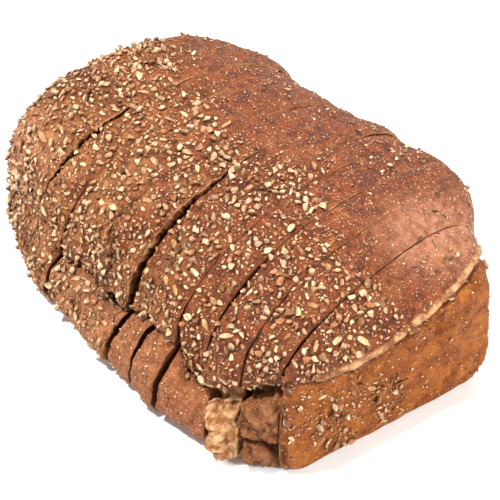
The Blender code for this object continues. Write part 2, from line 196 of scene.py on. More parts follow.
# Where the thick cover of grain ends on the crown, top to bottom, and patches that depart from it:
# place, radii in pixels, and how much grain is added or taken.
GRAIN_EDGE = ((150, 20), (178, 70), (206, 112), (246, 140), (275, 152), (330, 168), (318, 196), (334, 232),
              (350, 262), (372, 292), (402, 306), (412, 330), (380, 352), (330, 376))
GRAIN_PATCHES = (
    ((298, 158), (16, 9), -0.9),
    ((197, 138), (34, 24), -0.30),
    ((214, 100), (22, 9), 0.35),
    ((168, 58), (30, 12), 0.25),
    ((405, 160), (30, 14), 0.10),
    ((352, 304), (34, 26), 0.25),
    ((300, 330), (36, 40), 0.25),
    ((300, 372), (18, 6), 0.9),
    ((150, 380), (40, 30), -0.12),
)
# Patches of grain on the flat end, and where its crust is blistered.
FACE_PATCHES = (
    ((374, 386), (30, 12), 0.55),
    ((330, 420), (30, 26), 0.42),
    ((380, 414), (14, 14), 0.60),
    ((345, 440), (30, 10), 0.65),
    ((318, 396), (26, 10), 0.40),
    ((404, 404), (10, 10), 0.60),
)
FACE_SWELL = (
    ((352, 412), (48, 34), 1.0),
    ((381, 379), (12, 5), 1.0),
)
# Middles of the two places of painted highlight, painted reflections of the lamps on the crust.
PAINTED_SHEEN_NEAR = (438, 234)
PAINTED_SHEEN_FAR = (8, 150)
# Long dark seeds.
SEEDS = ((352, 124), (358, 132), (390, 150), (401, 156), (395, 171), (364, 172), (406, 193), (438, 194),
         (430, 158), (435, 211), (389, 233), (420, 239), (437, 233), (414, 267), (388, 280), (436, 271),
         (451, 258), (378, 411))
# Hollows torn in the crust: place, half length and half width in metres, depth, turn in the picture.
HOLLOWS = (
    ((173, 237), 0.0030, 0.0020, 0.0036, 50),
    ((176, 262), 0.0030, 0.0022, 0.0034, 20),
    ((178, 248), 0.0050, 0.0030, 0.0016, 70),
    ((164, 262), 0.0056, 0.0012, 0.0024, 66),
    ((115, 246), 0.0042, 0.0019, 0.0040, 80),
    ((112, 262), 0.0046, 0.0017, 0.0034, 60),
    ((142, 280), 0.0050, 0.0010, 0.0026, 62),
    ((112, 299), 0.0040, 0.0022, 0.0030, -20),
    ((203, 94), 0.0030, 0.0009, 0.0020, 14),
    ((212, 180), 0.0060, 0.0007, 0.0012, 34),
    ((180, 184), 0.0060, 0.0007, 0.0014, 10),
    ((136, 201), 0.0050, 0.0008, 0.0014, 24),
    ((88, 240), 0.0060, 0.0008, 0.0014, -50),
    ((60, 222), 0.0070, 0.0010, 0.0016, -52),
    ((282, 381), 0.0040, 0.0016, 0.0028, 14),
    ((311, 383), 0.0024, 0.0010, 0.0018, 10),
    ((363, 352), 0.0020, 0.0010, 0.0014, 30),
    ((181, 84), 0.0020, 0.0008, 0.0012, 20),
    ((141, 115), 0.0018, 0.0008, 0.0012, 30),
    ((203, 146), 0.0016, 0.0008, 0.0012, 0),
    ((384, 302), 0.0042, 0.0016, 0.0010, -62),
    ((319, 417), 0.0015, 0.0009, 0.0010, 0),
    ((472, 278), 0.0026, 0.0006, 0.0016, 52),
    ((456, 298), 0.0034, 0.0006, 0.0016, 44),
    ((441, 317), 0.0034, 0.0006, 0.0016, 40),
    ((430, 322), 0.0024, 0.0005, 0.0012, 36),
    ((166, 398), 0.0016, 0.0012, 0.0010, 0),
)


def camera_axes():
    """The camera's place, its axes, and the way it points."""
    az, el = math.radians(CAMERA_AZIMUTH), math.radians(CAMERA_ELEVATION)
    back = Vector((math.sin(az) * math.cos(el), -math.cos(az) * math.cos(el), math.sin(el)))
    right = Vector((math.cos(az), math.sin(az), 0.0))
    up = back.cross(right)
    place = CAMERA_AIM + Vector(LOAF_SHIFT) + back * CAMERA_DISTANCE
    ahead = -back * CAMERA_FOCAL_PX - right * CAMERA_AIM_PX[0] + up * CAMERA_AIM_PX[1]
    return place, right, up, back, ahead.normalized()


EYE, EYE_RIGHT, EYE_UP, EYE_BACK, EYE_AHEAD = camera_axes()


def to_photo(points):
    """Pixel place in the photograph of points in the row frame."""
    d = points - np.array(EYE)
    depth = -(d @ np.array(EYE_BACK))
    half = PHOTO_SIZE / 2
    x = half + CAMERA_AIM_PX[0] + CAMERA_FOCAL_PX * (d @ np.array(EYE_RIGHT)) / depth
    y = half + CAMERA_AIM_PX[1] - CAMERA_FOCAL_PX * (d @ np.array(EYE_UP)) / depth
    return x, y


def photo_ray(px, py):
    """Direction from the camera through a pixel of the photograph."""
    half = PHOTO_SIZE / 2
    x = px - half - CAMERA_AIM_PX[0]
    y = -(py - half - CAMERA_AIM_PX[1])
    return (-EYE_BACK * CAMERA_FOCAL_PX + EYE_RIGHT * x + EYE_UP * y).normalized()


# Noise

def lattice(ix, iy, iz, seed):
    """A random value in -1..1 for each whole-numbered place."""
    h = (ix * 374761393 + iy * 668265263 + iz * 1440662683 + seed * 1274126177) & 0xFFFFFFFF
    h = ((h ^ (h >> 13)) * 1274126177) & 0xFFFFFFFF
    return ((h ^ (h >> 16)) & 0xFFFFFF) / 0x7FFFFF - 1.0


def noise(p, size, seed):
    """Smooth noise in -1..1 with features of about that size."""
    q = p / size + 1000.0
    i = np.floor(q).astype(np.int64)
    f = q - i
    f = f * f * f * (f * (f * 6 - 15) + 10)
    total = 0.0
    for dx in (0, 1):
        wx = f[..., 0] if dx else 1 - f[..., 0]
        for dy in (0, 1):
            wy = f[..., 1] if dy else 1 - f[..., 1]
            for dz in (0, 1):
                wz = f[..., 2] if dz else 1 - f[..., 2]
                total = total + wx * wy * wz * lattice(i[..., 0] + dx, i[..., 1] + dy, i[..., 2] + dz, seed)
    return total


def layered(p, size, seed, steps=3, falling=0.55):
    """Noise with ever finer layers."""
    total, scale = 0.0, 1.0
    for k in range(steps):
        total = total + scale * noise(p, size / 2**k, seed + 17 * k)
        scale *= falling
    return total


def ease(low, high, v):
    """Smooth step from 0 at low to 1 at high."""
    t = np.clip((v - low) / (high - low), 0, 1)
    return t * t * (3 - 2 * t)


# The loaf's surface

def between(y, places, values):
    """Smooth curve through values at places."""
    y = min(max(y, places[0]), places[-1])
    i = max(k for k in range(len(places) - 1) if places[k] <= y)
    slopes = []
    for k in (i, i + 1):
        low, high = max(k - 1, 0), min(k + 1, len(places) - 1)
        slopes.append((values[high] - values[low]) / (places[high] - places[low]))
    h = places[i + 1] - places[i]
    t = (y - places[i]) / h
    return (
        (2 * t**3 - 3 * t**2 + 1) * values[i]
        + (t**3 - 2 * t**2 + t) * h * slopes[0]
        + (3 * t**2 - 2 * t**3) * values[i + 1]
        + (t**3 - t**2) * h * slopes[1]
    )


def lower_wall(half_width, swell, lip, sign, count):
    """Side of a section from the foot up to the torn edge."""
    foot = half_width + swell - (FOOT_INSET_RIGHT if sign > 0 else FOOT_INSET_LEFT)
    widest = WIDEST_SHARE * lip if sign > 0 else min(WIDEST_HEIGHT_LEFT, WIDEST_SHARE * lip)
    turn = count // 2
    a = math.pi / 2 * np.arange(turn) / turn
    low = np.stack([sign * (foot + (half_width + swell - foot) * np.sin(a)), widest * (1 - np.cos(a))], 1)
    t = np.arange(count - turn + 1) / (count - turn)
    out = half_width + swell - (swell + LIP_NOTCH) * t**2.2
    high = np.stack([sign * out, widest + (lip - widest) * t], 1)
    return np.vstack([low, high])


def section(y):
    """Outline of the loaf across its length at y, as x and z."""
    left = between(y, STATION_Y, HALF_WIDTH_LEFT)
    right = between(y, STATION_Y, HALF_WIDTH_RIGHT)
    crown = between(y, STATION_Y, CROWN_HEIGHT)
    lip_left = min(between(y, BURST_Y, BURST_HEIGHT), 0.90 * crown)
    lip_right = min(between(y, LIP_Y, LIP_HEIGHT_RIGHT), 0.70 * crown)
    swell_left = between(y, LIP_Y, SWELL_LEFT)
    swell_right = between(y, LIP_Y, SWELL_RIGHT)
    foot_left = -(left + swell_left - FOOT_INSET_LEFT)
    foot_right = right + swell_right - FOOT_INSET_RIGHT
    foot = np.stack([np.linspace(foot_left, foot_right, FOOT_POINTS + 1)[:-1], np.zeros(FOOT_POINTS)], 1)
    power = 2 / CROWN_EXPONENT
    a = math.pi / 2 * np.arange(CROWN_POINTS + 1) / CROWN_POINTS
    base_r, base_l = lip_right + LIP_NOTCH, lip_left + LIP_NOTCH
    bow, rise = np.abs(np.cos(a)) ** power, np.sin(a) ** power
    crown_r = np.stack([right * bow, base_r + (crown - base_r) * rise], 1)
    crown_l = np.stack([-left * bow, base_l + (crown - base_l) * rise], 1)[:-1][::-1]
    p = np.vstack([
        foot,
        lower_wall(right, swell_right, lip_right, 1, WALL_RIGHT),
        crown_r,
        crown_l,
        lower_wall(left, swell_left, lip_left, -1, WALL_LEFT)[:0:-1],
    ])
    x, z = p[:, 0], p[:, 1]
    near = min(max((FLAT_END_Y + FLAT_END_REACH - y) / FLAT_END_REACH, 0.0), 1.0)
    corner = FLAT_END_CORNER * ease(-0.038, -0.054, x) - FLAT_END_SAG * np.exp(-(((x + 0.014) / 0.017) ** 2))
    z = z * (1 + near**2 * (FLAT_END_RISE * x + corner))
    edge = min(max((FLAT_END_Y + FLAT_END_EDGE - y) / FLAT_END_EDGE, 0.0), 1.0)
    inset = FLAT_END_EDGE * (1 - math.sqrt(1 - edge**2))
    x, z = x - np.sign(x) * inset, z + inset * (1 - 2 * z / crown)
    far = min(max((y - ROUND_END_START) / ROUND_END_LENGTH, 0.0), 1.0)
    keep = 0.22 + 0.78 * math.sqrt(1 - far**2)
    middle = 0.42 * crown
    return x * keep, middle + (z - middle) * keep


def splay(cut, x, z):
    """How far a cut is moved along the loaf low on the left, where the slices lean apart."""
    if cut < 0 or cut >= LAST:
        return 0.0 * x
    return CUT_SPLAY[cut] * ease(*SPLAY_HEIGHT, z) * np.clip((SPLAY_START_X - x) / SPLAY_WIDTH, 0, 1)


def face_y(cut, x, z):
    """Where a cut or an end lies along the loaf."""
    if cut < 0:
        return FLAT_END_Y + END_INSET + x * math.tan(math.radians(FLAT_END_TURN))
    if cut >= LAST:
        return np.full_like(x, STATION_Y[-1] - END_INSET)
    plane = x * math.tan(math.radians(CUT_TURN[cut])) + z * math.tan(math.radians(CUT_LEAN[cut]))
    return CUT_Y[cut] + plane + splay(cut, x, z)


def gap(cut, x, z):
    """Full width of a cut at a place, wider on the left shoulder and down the left wall."""
    shoulder = ease(0.016, 0.052, -x) * ease(0.020, 0.034, z)
    wall = ease(0.046, 0.066, -x) * ease(0.052, 0.024, z)
    return CUT_GAP[cut] + CUT_SHOULDER[cut] * shoulder + CUT_OPENING[cut] * wall


def shares(piece):
    """Places of a piece's stations between its two ends, closer together towards them."""
    if 0 < piece < LAST:
        t = np.linspace(0, 1, STATIONS)
        return t - 0.055 * np.sin(2 * math.pi * t)
    eased = np.sin(math.pi / 2 * np.linspace(0, 1, HEEL_STATIONS))
    return eased if piece else 1 - eased[::-1]


def plain_rings(piece):
    """Undisturbed surface grid of one piece, stations by ring points, in the row frame."""
    start = FLAT_END_Y if piece == 0 else CUT_Y[piece - 1]
    end = STATION_Y[-1] if piece == LAST else CUT_Y[piece]
    rows = []
    for t in shares(piece):
        x, z = section(start + (end - start) * t)
        draw = splay(piece - 1, x, z) * (1 - t) + splay(piece, x, z) * t
        x = x - SPLAY_INSET * draw * (x < 0) + SHIFT[piece]
        a = face_y(piece - 1, x, z) + (gap(piece - 1, x, z) / 2 if piece else 0)
        b = face_y(piece, x, z) - (gap(piece, x, z) / 2 if piece < LAST else 0)
        rows.append(np.stack([x, a + (b - a) * t, z], 1))
    return np.array(rows) + LOAF_SHIFT


def ring_normals(g):
    """Unit normals of a ring grid, either way."""
    around = np.roll(g, -1, 1) - np.roll(g, 1, 1)
    n = np.cross(around, np.gradient(g, axis=0))
    return n / np.maximum(np.linalg.norm(n, axis=2, keepdims=True), 1e-12)


def grid_normals(g):
    """Outward unit normals of a ring grid."""
    n = ring_normals(g)
    return -n if ((g - g.mean(axis=(0, 1))) * n).sum() < 0 else n


def face_normals(g, way):
    """Unit normals of a face grid that look along way."""
    n = ring_normals(g)
    return np.where((n @ way)[..., None] < 0, -n, n)


GRIDS = [plain_rings(i) for i in range(len(PIECES))]
RING = GRIDS[0].shape[1]


def wall_faces(rows, cols):
    """Faces of a grid of rings that close on themselves."""
    r, c = np.meshgrid(np.arange(rows - 1), np.arange(cols), indexing="ij")
    low, high, d = r * cols, (r + 1) * cols, (c + 1) % cols
    return np.stack([low + c, low + d, high + d, high + c], -1).reshape(-1, 4)


def surface_tree():
    """Ray target of all the pieces with the flat end closed."""
    verts, faces, owner = [], [], []
    for piece, g in enumerate(GRIDS):
        coarse = g[:, ::3] if g.shape[1] > 200 else g
        rows, cols = coarse.shape[:2]
        blocks = (len(verts) + wall_faces(rows, cols)).tolist()
        if piece == 0:
            blocks.append(list(range(cols)))
        verts.extend(map(tuple, coarse.reshape(-1, 3)))
        faces.extend(blocks)
        owner.extend([piece] * len(blocks))
    return BVHTree.FromPolygons(verts, faces), owner


TREE, OWNER = surface_tree()


def on_loaf(px, py):
    """Point, normal and piece that a pixel of the photograph shows."""
    hit, normal, index, _ = TREE.ray_cast(EYE, photo_ray(px, py))
    if hit is None:
        return None
    if normal.dot(EYE_BACK) < 0:
        normal = -normal
    return np.array(hit), np.array(normal), OWNER[index]


def hollow_field(p):
    """How deep the torn hollows are at points p."""
    depth = np.zeros(p.shape[:-1])
    for (px, py), half_long, half_wide, deep, turn in HOLLOWS:
        found = on_loaf(px, py)
        if found is None:
            continue
        centre, normal, _ = found
        a = math.radians(turn)
        along = np.array(EYE_RIGHT) * math.cos(a) + np.array(EYE_UP) * math.sin(a)
        along -= normal * (along @ normal)
        along /= np.linalg.norm(along)
        across = np.cross(normal, along)
        d = p - centre
        u, v, w = (d @ along) / half_long, (d @ across) / half_wide, (d @ normal) / 0.012
        r = np.sqrt(u * u + v * v + w * w)
        depth = np.maximum(depth, deep * (1 - ease(0.55, 1.25, r)))
    return depth


# Relief

def beside(line, px, py):
    """Signed distance in pixels from a line in the photograph, positive on the left hand going along it."""
    best = np.full(px.shape, 1e9)
    signed = np.zeros(px.shape)
    square = np.zeros(px.shape)
    for (x0, y0), (x1, y1) in zip(line[:-1], line[1:]):
        dx, dy = x1 - x0, y1 - y0
        t = np.clip(((px - x0) * dx + (py - y0) * dy) / (dx * dx + dy * dy), 0, 1)
        away = np.hypot(px - x0 - t * dx, py - y0 - t * dy)
        side = (dy * (px - x0) - dx * (py - y0)) / math.hypot(dx, dy)
        closer = (away < best - 1e-6) | ((away < best + 1e-6) & (np.abs(side) > square))
        best = np.where(closer, away, best)
        signed = np.where(closer, away * np.sign(side), signed)
        square = np.where(closer, np.abs(side), square)
    return signed


def patches(table, px, py):
    """Sum of soft elliptical patches in the photograph."""
    total = np.zeros(px.shape)
    for (x, y), (rx, ry), amount in table:
        total += amount * np.exp(-(((px - x) / rx) ** 2 + ((py - y) / ry) ** 2) ** 1.5)
    return total


def edge_distance(piece, p, photo, normals, lips):
    """About how many pixels places are over the cap's torn edge, left and right, and which lie left."""
    x, z = p[..., 0], p[..., 2]
    wall = lips is not None
    cols = np.arange(RING)[None, :] + 0 * x
    on_left = (cols > CROWN_FIRST + CROWN_POINTS) & wall
    on_right = (cols > FOOT_POINTS) & ~on_left & wall
    ragged = layered(p, 0.009, 33)
    above = beside(CAP_EDGE, *photo) + (1.0 if piece == 0 else 2.2) * ragged
    if piece == 0:
        hidden = (normals @ np.array(EYE_BACK) < 0.05) & (x > 0.030) & (z < 0.040)
        above = np.where((photo[0] > CAP_EDGE_END) | hidden, FAR_BELOW, above)
    elif piece in LUMPS:
        above = np.where(on_left & (x < -0.028), above, FAR_ABOVE)
    elif wall:
        above = np.where(on_left, (z - lips[0]) / LIP_BAND + 2.2 * ragged, FAR_ABOVE)
    else:
        above = np.full_like(x, FAR_BELOW)
    above_right = np.full_like(x, FAR_ABOVE)
    if wall and piece:
        above_right = np.where(on_right, (z - lips[1]) / LIP_BAND + 2.2 * ragged, above_right)
    return above, above_right, on_left


def add_lumps(piece, p, above, torn, relief):
    """Add lumps of torn crumb low on the left. Gives back how much crumb, and the painted shade of each place:
    over the lumps, more low down, in the cracks between them and in the pits.
    """
    z = p[..., 2]
    lump = np.zeros_like(z)
    for middle, half, out in LUMPS[piece]:
        lump = np.maximum(lump, out * np.sqrt(np.clip(1 - ((z - middle) / half) ** 2, 0, 1)))
    t = shares(piece)[:, None] + 0 * z
    drift = 2 * t - 1 + 0.35 * noise(p, 0.009, 190 + piece)
    lump = lump * np.sqrt(np.clip(1 - np.abs(drift) ** 2.4, 0, 1))
    rough = layered(p, 0.0070, 200 + piece, 5, 0.66)
    pits = (1 - np.abs(noise(p, 0.0048, 230 + piece))) ** 6
    relief += torn * (lump - 0.0036 + rough * 0.0021 - pits * 0.0016)
    relief -= torn * 0.0030 * np.exp(-((np.minimum(above + 5, 0) / 6) ** 2))
    shade = torn * TORN_SHADE[piece] * (1 + 0.8 * ease(0.016, 0.010, z))
    shade = np.maximum(shade, torn * np.maximum(0.85 * ease(0.0030, 0.0006, lump), 0.5 * pits))
    return torn * CRUMB_SHARE[piece], shade


def add_cut_edges(piece, g, p, above, crumb, relief):
    """Add barely broken crust beside the cuts. Gives back the distance from the nearest, and the crumb."""
    x, z = p[..., 0], p[..., 2]
    t = shares(piece)[:, None] + 0 * x
    thick = np.linalg.norm(g[-1] - g[0], axis=1)[None, :]
    to_near = t * thick if piece else np.full_like(x, NO_CUT)
    to_far = (1 - t) * thick if piece < LAST else np.full_like(x, NO_CUT)
    from_cut = np.minimum(to_near, to_far)
    calm = ease(-0.030, 0.010, x)
    nicks = ease(0.0, 0.8, layered(p, 0.0045, 44, 2)) * (1 - 0.8 * calm)
    relief -= np.exp(-from_cut / 0.0004) * (0.00004 + 0.0006 * nicks)
    edge_crumb = np.exp(-from_cut / 0.0004) * calm * ease(-0.3, 0.4, layered(p, 0.0060, 46, 2))
    crumb = np.maximum(crumb, 0.45 * edge_crumb)
    relief += 0.0008 * (4 * t * (1 - t) - 0.5) * ease(0.015, 0.045, x) * ease(0.015, 0.030, z)
    if piece in CUT_STRIP:
        wide = CUT_STRIP[piece] * (0.6 + 0.9 * layered(p, 0.004, 47, 3))
        bare = ease(1.3, 0.7, to_near / np.maximum(wide, 1e-4)) * ease(0.006, -0.020, x) * (above > 4)
        crumb = np.maximum(crumb, bare * 0.5)
    for distance, behind in ((to_near, piece), (to_far, piece + 1)):
        if behind in CUT_STRIP:
            ragged = np.clip(layered(p, 0.0042, 49, 3), 0, 1) * ease(0.000, -0.032, x)
            relief -= 0.0013 * ragged * np.exp(-distance / 0.0016)
    return from_cut, crumb


def masks_and_relief(piece, g, normals, lips=None):
    """How far the crust stands out at grid g, its colour masks and its torn share.

    lips holds the heights of the torn edge, left and right; without it the grid is a baked end.
    """
    p = g - LOAF_SHIFT
    x, y, z = p[..., 0], p[..., 1], p[..., 2]
    px, py = to_photo(g)
    above, above_right, on_left = edge_distance(piece, p, (px, py), normals, lips)
    below = ease(0.6, -0.6, above)

    relief = layered(p, 0.020, 3 + piece) * 0.0006
    relief += layered(p, 0.0062, 91, 2) * 0.00036
    relief += layered(p, 0.0016, 57, 2) * 0.00014
    rugged = ease(250, 110, px) * ease(-0.078, -0.030, y)
    relief += rugged * layered(p, 0.0075, 63, 4, 0.6) * 0.0008
    folds = (1 - np.abs(noise(p * np.array([1.0, 0.55, 1.0]), 0.0085, 7))) ** 9
    relief -= 0.0006 * folds * ease(-0.1, 0.5, noise(p, 0.020, 12)) * (1 - below)
    relief += below * (layered(p, 0.012, 71) * 0.0006 + layered(p, 0.0032, 73, 3) * 0.00022)

    # The cap's torn edge: a rolled rim over a ragged crease.
    strength = 0.85 + 0.5 * noise(p, 0.013, 35)
    rim = np.exp(-(((above - 3.4) / 3.2) ** 2))
    groove = np.exp(-(((above + 1.8) / 2.0) ** 2))
    relief += rim * RIM_HEIGHT * strength - groove * GROOVE_DEPTH * strength
    relief -= 0.0008 * below * np.exp(-((above / 9) ** 2))
    relief += np.exp(-(((above_right - 3) / 4) ** 2)) * 0.0004
    uneven = 1 + 0.7 * noise(p * np.array([1.0, 0.0, 1.0]), 0.0090, 61)
    relief += STEP[piece] * uneven * ease(-0.008, -0.036, x) * ease(0.0, 8.0, above)
    if piece == 0:
        relief += 0.0009 * patches(FACE_SWELL, px, py) * below
        relief += 0.0005 * below * ease(440, 370, px) * layered(p, 0.0052, 75, 3)

    hollows = hollow_field(g)
    relief -= hollows
    torn, crumb, shade = np.zeros_like(x), np.zeros_like(x), np.zeros_like(x)
    from_cut = np.full_like(x, NO_CUT)
    if lips is not None:
        if piece in LUMPS:
            torn = below * on_left
            crumb, shade = add_lumps(piece, p, above, torn, relief)
        from_cut, crumb = add_cut_edges(piece, g, p, above, crumb, relief)
    relief *= 1 - 0.85 * ease(0.004, 0.0, z)

    tan = np.maximum(below * (0.55 if piece else 1.0), 0.35 * ease(2.0, -2.0, above_right))
    tan = np.maximum(tan, 0.66 * ease(270, 90, px) * ease(-0.8, 0.2, layered(p, 0.014, 39, 2)))
    tan = np.maximum(tan, 0.30 * ease(0.052, 0.036, z) * ease(-0.048, -0.058, x))
    # Painted highlight: painted reflections of the lamps near the flat end and at the far left. On the slices'
    # skirts the same mask holds the skirt's own paler colour.
    painted_sheen_and_pale_skirt = ease(62, 4, np.hypot((px - PAINTED_SHEEN_NEAR[0]) / 1.4, (py - PAINTED_SHEEN_NEAR[1])))
    painted_far_sheen = ease(72, 16, np.hypot(px - PAINTED_SHEEN_FAR[0], (py - PAINTED_SHEEN_FAR[1]) / 1.3))
    painted_sheen_and_pale_skirt = np.where(above > 3, np.maximum(painted_sheen_and_pale_skirt, 0.95 * painted_far_sheen), 0)
    if piece:
        painted_sheen_and_pale_skirt = np.maximum(painted_sheen_and_pale_skirt, SKIRT_PALENESS * below * on_left * (torn < 0.5))
    else:
        band = ease(-1.0, 1.0, above) * ease(8.5, 5.0, above) * ease(300, 350, px)
        crumb = np.maximum(crumb, band * np.clip(0.8 + 0.5 * noise(p, 0.005, 37), 0, 1))
    crumb = np.maximum(crumb, ease(0.0005, 0.0016, hollows) * 0.55)
    # Painted shade: in the crease under the cap's rolled rim, in the torn hollows, beside the cut gaps, between
    # thick grain, and from the crumb lumps.
    painted_shade_and_mottle = np.clip(groove * (0.35 + 0.5 * strength) + ease(0.0014, 0.0034, hollows), 0, 1)
    painted_shade_and_mottle = np.maximum(painted_shade_and_mottle, 0.45 * np.exp(-from_cut / 0.0003) * (crumb < 0.3) * ease(0.010, -0.030, x))
    dense = cover(g.reshape(-1, 3), normals.reshape(-1, 3)).reshape(x.shape)
    painted_shade_and_mottle = np.maximum(painted_shade_and_mottle, 0.32 * dense * ease(-0.3, 0.5, layered(p, 0.0040, 52, 2)))
    painted_shade_and_mottle = np.maximum(painted_shade_and_mottle, shade)
    if piece == 0:
        # On the flat end, random darker mottle of the crust itself.
        painted_shade_and_mottle = np.maximum(painted_shade_and_mottle, 0.17 * below * ease(0.0, 0.6, layered(p, 0.0045, 78, 3)))
    return relief, np.stack([tan, painted_sheen_and_pale_skirt, crumb, painted_shade_and_mottle], -1), torn


def settle(v):
    """Keep vertices inside the box of the solid part, easing in over a short way."""
    over = v - (HIGH_LIMIT - EASE_IN)
    v = np.where(over > 0, HIGH_LIMIT - EASE_IN * np.exp(-np.maximum(over, 0) / EASE_IN), v)
    under = (LOW_LIMIT + EASE_IN) - v
    low = LOW_LIMIT + EASE_IN * np.exp(-np.maximum(under, 0) / EASE_IN)
    low[..., 2] = np.maximum(v[..., 2], 0.0)
    return np.where((under > 0) & (np.arange(3) < 2), low, np.where(np.arange(3) == 2, np.maximum(v, 0.0), v))


# Meshes of the pieces

def wall_of(piece):
    """Grid of a piece's wall with its relief, its colour masks and its torn share."""
    plain = GRIDS[piece]
    normals = grid_normals(plain)
    lips = [plain[:, k, 2][:, None] for k in (LEFT_LIP, CROWN_FIRST)]
    relief, masks, torn = masks_and_relief(piece, plain, normals, lips)
    g = plain + normals * relief[..., None]
    x, z = g[..., 0] - LOAF_SHIFT[0], g[..., 2]
    if piece > 0:
        g[..., 1] = np.maximum(g[..., 1], face_y(piece - 1, x, z) + CUT_GAP[piece - 1] / 2 + LOAF_SHIFT[1])
    if piece < LAST:
        g[..., 1] = np.minimum(g[..., 1], face_y(piece, x, z) - CUT_GAP[piece] / 2 + LOAF_SHIFT[1])
    return settle(g), masks, torn


def spread_out(values, reach):
    """Mean of each ring value and its neighbours up to reach places away."""
    span = range(-reach, reach + 1)
    return sum(np.roll(values, k, 0) for k in span) / len(span)


def end_rings(rim, count, baked):
    """Rings that close an end towards its middle, and how far each has shrunk."""
    x, z = rim[:, 0], rim[:, 2]
    mid = np.stack([x.mean() + 0.25 * (x - x.mean()), 0 * x, 0.45 * z.max() + 0 * z], 1)
    shrink = (np.arange(1, count + 1) / count) ** (1 if baked else 2)
    outline = rim[None]
    if baked:
        smooth_rim = spread_out(rim, OUTLINE_SPREAD)
        outline = smooth_rim[None] + (rim - smooth_rim)[None] * ease(0.035, 0.0, shrink)[:, None, None]
    return outline + (mid[None] - outline) * shrink[:, None, None], shrink


def baked_end(piece, rim, q, shrink):
    """Baked crust over the rings q of a heel's end, level with its rim, and its masks."""
    cut, outward = (-1, -1) if piece == 0 else (LAST, 1)
    base = face_y(cut, q[..., 0] - LOAF_SHIFT[0], q[..., 2]) + LOAF_SHIFT[1]
    q[..., 1] = base
    relief, mask, _ = masks_and_relief(piece, q, np.zeros_like(q) + (0, outward, 0))
    level = rim[:, 1] - (face_y(cut, rim[:, 0] - LOAF_SHIFT[0], rim[:, 2]) + LOAF_SHIFT[1])
    kept = level - outward * relief[0]
    even = spread_out(kept, KEPT_SPREAD)
    near_rim, inside = ease(0.05, 0.0, shrink)[:, None], ease(0.5, 0.0, shrink)[:, None]
    kept = near_rim * kept[None] + (inside - near_rim) * even[None]
    q[..., 1] = base + outward * relief + kept
    return settle(q), mask


def cut_end(piece, side, q, shrink):
    """Porous crumb over the rings q of a cut face, and its masks: painted shade inside the gap, strongest at
    the rim, except on a strip that shows.
    """
    cut, inward = (piece - 1, 1) if side == 0 else (piece, -1)
    x, z = q[..., 0] - LOAF_SHIFT[0], q[..., 2]
    base = face_y(cut, x, z) + LOAF_SHIFT[1]
    shown = ease(0.004, -0.020, x) if side == 0 and piece in CUT_STRIP else 0 * x
    pores = np.abs(layered(q, 0.003, 160 + piece, 4)) * (0.0003 + 0.0020 * shown) + 0.00025
    q[..., 1] = base + inward * (gap(cut, x, z) / 2 + pores * ease(0.0, 0.03, shrink)[:, None])
    mask = np.zeros(q.shape[:2] + (4,))
    mask[..., 2] = 1.0
    spots = ease(0.1, 0.6, layered(q, 0.0035, 180 + piece, 3))
    bared = shown * ease(0.06, 0.015, shrink)[:, None] * (1 - spots)
    # Painted shade of the cut face inside its gap, left off where a strip shows.
    mask[..., 3] = (0.97 - 0.45 * shrink[:, None]) * (1 - bared)
    return q, mask


def end_faces(rings, tip, side):
    """Faces that join an end's rings and close on the tip, wound outward for that side."""
    blocks = []
    for low, high in zip(rings[:-1], rings[1:]):
        block = np.stack([low, high, np.roll(high, -1), np.roll(low, -1)], -1)
        blocks.append(block[:, ::-1] if side == 1 else block)
    last, following = rings[-1], np.roll(rings[-1], -1)
    tips = np.full_like(last, tip)
    closing = [last, following, tips, tips] if side == 1 else [last, tips, following, following]
    blocks.append(np.stack(closing, -1))
    return blocks


def make_piece(piece, crust_look, crumb_look):
    """High detail mesh of one heel or slice. Gives back the grids that grain can be strewn on."""
    g, masks, torn = wall_of(piece)
    rows, cols = g.shape[:2]
    ring = np.arange(cols)
    verts, colours = [g.reshape(-1, 3)], [masks.reshape(-1, 4)]
    faces = [wall_faces(rows, cols)]
    slots = [np.zeros(len(faces[0]), int)]
    strewable = [(g, torn)]
    first = rows * cols
    for side, rim_row in ((0, 0), (1, rows - 1)):
        near_face = piece == 0 and side == 0
        baked = near_face or (piece == LAST and side == 1)
        count = FLAT_END_RINGS if near_face else ROUND_END_RINGS if baked else CUT_RINGS
        q, shrink = end_rings(g[rim_row], count, baked)
        if baked:
            q, mask = baked_end(piece, g[rim_row], q, shrink)
            strewable.append((q, np.zeros(q.shape[:2])))
        else:
            q, mask = cut_end(piece, side, q, shrink)
        verts += [q.reshape(-1, 3), q[-1].mean(axis=0)[None]]
        colours += [mask.reshape(-1, 4), mask[-1, :1]]
        tip = first + count * cols
        rings = [ring + rim_row * cols] + [first + k * cols + ring for k in range(count)]
        blocks = end_faces(rings, tip, side)
        faces.extend(blocks)
        slots.append(np.full(sum(len(k) for k in blocks), 0 if baked else 1))
        first = tip + 1
    name, looks = f"crust_of_{PIECES[piece]}", [crust_look, crumb_look]
    obj = mesh_object(name, np.vstack(verts), np.vstack(faces), looks, np.concatenate(slots))
    paint(obj, "masks", np.vstack(colours))
    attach(obj, "root")
    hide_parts(PIECES[piece])
    return strewable


def paint(obj, name, colours):
    """Store colours on the vertices of a mesh."""
    layer = obj.data.color_attributes.new(name, "FLOAT_COLOR", "POINT")
    layer.data.foreach_set("color", colours.astype(np.float32).ravel())


